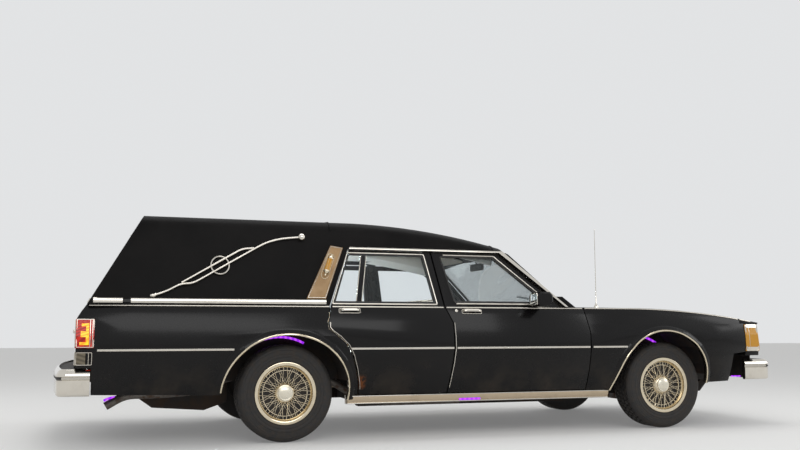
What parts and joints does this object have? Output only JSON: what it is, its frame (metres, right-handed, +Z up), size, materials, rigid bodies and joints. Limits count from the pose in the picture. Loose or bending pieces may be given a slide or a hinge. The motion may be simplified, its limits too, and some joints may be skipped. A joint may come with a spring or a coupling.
{
  "type": "hearse",
  "caption": "Black landau hearse on a long estate-type car body: hinged doors, hood and side-hung tail door, steered front wheels, casket deck with rollers.",
  "frame": {"origin": "on the ground, at mid length and mid width between the bumper faces", "axes": "+X forwards, +Y to the car's left, +Z up"},
  "size_m": [5.4998, 2.21, 1.545],
  "materials": {
    "black_paint": "gloss",
    "black_vinyl": "grained vinyl",
    "chrome": "polished",
    "clear_glass": "clear",
    "tan_trim": "satin",
    "red_lens": "gloss",
    "amber_lens": "gloss",
    "clear_lens": "gloss",
    "underbody": "matt",
    "dash_plastic": "matt",
    "seat_cloth": "woven",
    "deck_wood": "varnished",
    "roller_steel": "brushed",
    "engine_iron": "rough",
    "exhaust_steel": "weathered",
    "tyre_rubber": "matt"
  },
  "bodies": {
    "chassis": {"quarter_panels": "black_paint", "tail_lamps": "red_lens", "reverse_lamps": "clear_lens", "front_fenders": "black_paint", "wheel_wells": "underbody", "rocker_sills": "chrome", "roof": "black_vinyl", "windshield": "clear_glass", "b_posts": "black_paint", "landau_panels": "tan_trim", "landau_mouldings": "chrome", "landau_bars": "chrome", "coach_lamps": "chrome", "drip_rails": "chrome", "floor_pan": "underbody", "frame": "underbody", "cowl_panel": "black_paint", "dashboard": "dash_plastic", "front_seat": "seat_cloth", "casket_deck": "deck_wood", "casket_rollers": "roller_steel", "nose_panel": "black_paint", "headlamps": "clear_lens", "corner_lamps": "amber_lens", "grille": "chrome", "front_bumper": "chrome", "rear_bumper": "chrome", "rear_valance": "black_paint", "engine": "engine_iron", "radiator": "underbody", "rear_axle": "engine_iron", "front_suspension": "engine_iron", "exhaust": "exhaust_steel", "fuel_tank": "underbody", "antenna": "chrome"},
    "front_door_right": {"front_door_right": "black_paint", "front_glass_right": "clear_glass", "door_mirror_right": "black_paint"},
    "front_door_left": {"front_door_left": "black_paint", "front_glass_left": "clear_glass", "door_mirror_left": "black_paint"},
    "rear_door_right": {"rear_door_right": "black_paint", "rear_glass_right": "clear_glass"},
    "rear_door_left": {"rear_door_left": "black_paint", "rear_glass_left": "clear_glass"},
    "tail_door": {"tail_door": "black_paint", "tail_glass": "clear_glass"},
    "hood": {"hood": "black_paint"},
    "steering_wheel": {"steering_wheel": "dash_plastic"},
    "knuckle_right": {"knuckle_right": "engine_iron"},
    "knuckle_left": {"knuckle_left": "engine_iron"},
    "front_wheel_right": {"front_tyre_right": "tyre_rubber", "front_wheel_right": "chrome"},
    "front_wheel_left": {"front_tyre_left": "tyre_rubber", "front_wheel_left": "chrome"},
    "rear_wheel_right": {"rear_tyre_right": "tyre_rubber", "rear_wheel_right": "chrome"},
    "rear_wheel_left": {"rear_tyre_left": "tyre_rubber", "rear_wheel_left": "chrome"}
  },
  "joints": [
    {"name": "front_door_right_hinge", "type": "hinge", "parent": "chassis", "child": "front_door_right", "pos_m": [1.014, -0.987, 0.6], "axis": [0, 0, 1], "range_deg": [0, 65]},
    {"name": "rear_door_right_hinge", "type": "hinge", "parent": "chassis", "child": "rear_door_right", "pos_m": [-0.07125, -0.987, 0.6], "axis": [0, 0, 1], "range_deg": [0, 68]},
    {"name": "knuckle_right_steer", "type": "hinge", "parent": "chassis", "child": "knuckle_right", "pos_m": [1.696, -0.713, 0.325], "axis": [0, 0, 1], "range_deg": [-33, 33]},
    {"name": "front_wheel_right_spin", "type": "hinge", "parent": "knuckle_right", "child": "front_wheel_right", "pos_m": [1.696, -0.783, 0.325], "axis": [0, 1, 0], "continuous": true},
    {"name": "rear_wheel_right_spin", "type": "hinge", "parent": "chassis", "child": "rear_wheel_right", "pos_m": [-1.25, -0.783, 0.325], "axis": [0, 1, 0], "continuous": true},
    {"name": "front_door_left_hinge", "type": "hinge", "parent": "chassis", "child": "front_door_left", "pos_m": [1.014, 0.987, 0.6], "axis": [0, 0, -1], "range_deg": [0, 65]},
    {"name": "rear_door_left_hinge", "type": "hinge", "parent": "chassis", "child": "rear_door_left", "pos_m": [-0.07125, 0.987, 0.6], "axis": [0, 0, -1], "range_deg": [0, 68]},
    {"name": "knuckle_left_steer", "type": "hinge", "parent": "chassis", "child": "knuckle_left", "pos_m": [1.696, 0.713, 0.325], "axis": [0, 0, 1], "range_deg": [-33, 33]},
    {"name": "front_wheel_left_spin", "type": "hinge", "parent": "knuckle_left", "child": "front_wheel_left", "pos_m": [1.696, 0.783, 0.325], "axis": [0, 1, 0], "continuous": true},
    {"name": "rear_wheel_left_spin", "type": "hinge", "parent": "chassis", "child": "rear_wheel_left", "pos_m": [-1.25, 0.783, 0.325], "axis": [0, 1, 0], "continuous": true},
    {"name": "tail_door_hinge", "type": "hinge", "parent": "chassis", "child": "tail_door", "pos_m": [-2.6, 0.822, 0.9], "axis": [0, 0, -1], "range_deg": [0, 100]},
    {"name": "hood_hinge", "type": "hinge", "parent": "chassis", "child": "hood", "pos_m": [1.099, 0, 0.94], "axis": [0, -1, 0], "range_deg": [0, 50]},
    {"name": "steering_wheel_turn", "type": "hinge", "parent": "chassis", "child": "steering_wheel", "pos_m": [0.686, 0.38, 0.8], "axis": [-0.8829, 0, 0.4695], "range_deg": [-495, 495]}
  ],
  "couplings": [
    {"joint": "knuckle_left_steer", "follows": "knuckle_right_steer", "ratio": 1},
    {"joint": "steering_wheel_turn", "follows": "knuckle_right_steer", "ratio": 15}
  ]
}
